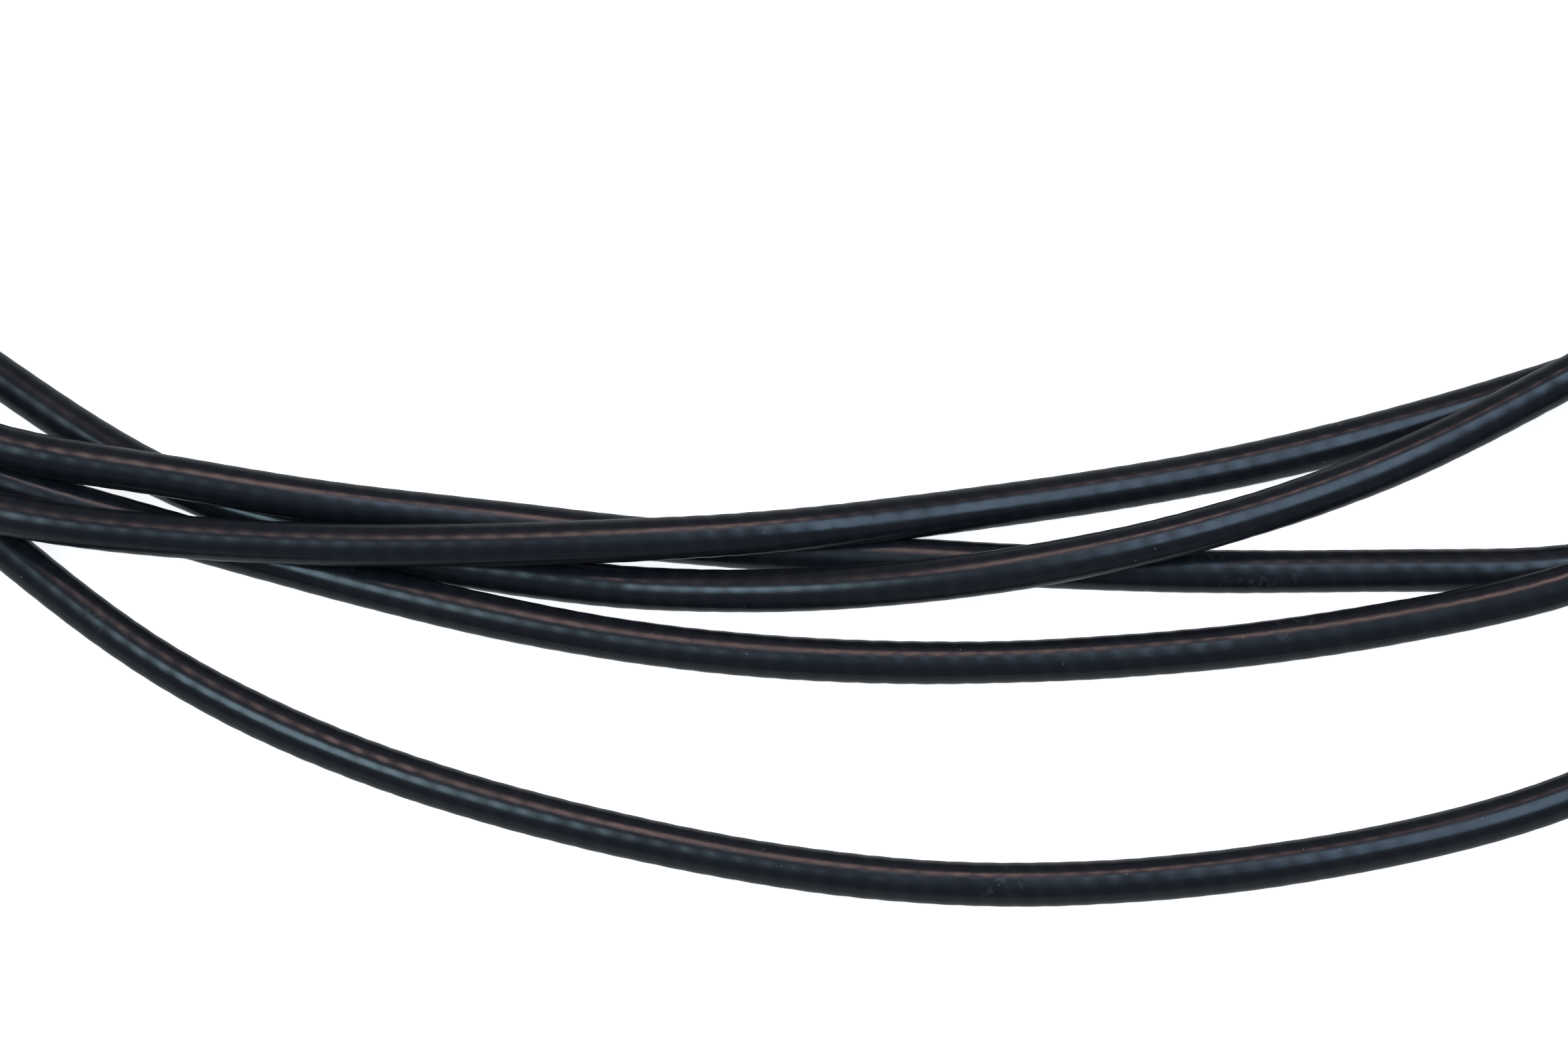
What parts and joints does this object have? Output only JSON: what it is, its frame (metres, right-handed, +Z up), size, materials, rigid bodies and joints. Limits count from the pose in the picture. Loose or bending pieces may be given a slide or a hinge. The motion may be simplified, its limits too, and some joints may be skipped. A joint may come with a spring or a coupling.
{
  "type": "camera cable release",
  "caption": "Mechanical cable release: thumb plunger head with lock screw, long black sheathed cable in a loose coil, and a screw-in tip with a sliding pin.",
  "frame": {"origin": "under the middle of the plunger head, on the surface it lies on", "axes": "+X along the head from the cable's end to the thumb button, +Z up, the cable's coil lies towards -Y"},
  "size_m": [0.2394, 0.2392, 0.0175],
  "materials": {
    "sheath": "extruded black PVC sheath over a spiral-wound steel conduit, satin",
    "moulded_sleeve": "moulded black sleeve, matt",
    "moulded_button": "compression-moulded black plastic, soft gloss",
    "nickel_plate": "turned brass, nickel plated, satin to bright",
    "drawn_steel": "drawn and ground steel",
    "bare_brass": "turned brass, left bare",
    "fibre": "pressed vulcanised fibre"
  },
  "bodies": {
    "release": {"strain_relief": "moulded_sleeve", "cable_socket": "nickel_plate", "conduit_ferrule": "bare_brass", "barrel": "nickel_plate", "spring_seat": "drawn_steel", "return_spring": "drawn_steel", "finger_plate": "nickel_plate", "plate_washer": "fibre", "barrel_cap": "nickel_plate", "guide_bush": "bare_brass", "cable_lead_head": "sheath", "cable_coil": "sheath", "cable_lead_tip": "sheath", "tip_relief": "moulded_sleeve", "tip_ferrule": "nickel_plate", "collar_clip": "drawn_steel"},
    "plunger": {"thumb_button": "moulded_button", "button_locknut": "nickel_plate", "plunger_rod": "drawn_steel", "piston": "bare_brass", "wire_grub_screw": "drawn_steel", "inner_wire": "drawn_steel"},
    "lock": {"lock_pad": "bare_brass", "lock_screw": "nickel_plate"},
    "screw_collar": {"tip_collar": "nickel_plate", "screw_nipple": "nickel_plate"},
    "pin": {"release_pin": "drawn_steel", "wire_crimp": "bare_brass", "tip_wire": "drawn_steel"}
  },
  "joints": [
    {"name": "plunger_slide", "type": "slide", "parent": "release", "child": "plunger", "axis": [-1, 0, 0], "range_m": [0, 0.012], "stiffness_N_per_m": 150, "springref_m": -0.01, "deforming": ["return_spring"]},
    {"name": "pin_slide", "type": "slide", "parent": "release", "child": "pin", "axis": [-1, 0, 0], "range_m": [0, 0.012]},
    {"name": "lock_screw_turn", "type": "hinge", "parent": "release", "child": "lock", "pos_m": [0.0226, 0, 0.0065], "axis": [0, 0, 1], "range_deg": [0, 270]},
    {"name": "screw_collar_spin", "type": "hinge", "parent": "release", "child": "screw_collar", "pos_m": [0.01, -0.076, 0.0035], "axis": [-1, 0, 0], "continuous": true}
  ],
  "couplings": [
    {"joint": "pin_slide", "follows": "plunger_slide", "ratio": 1}
  ]
}
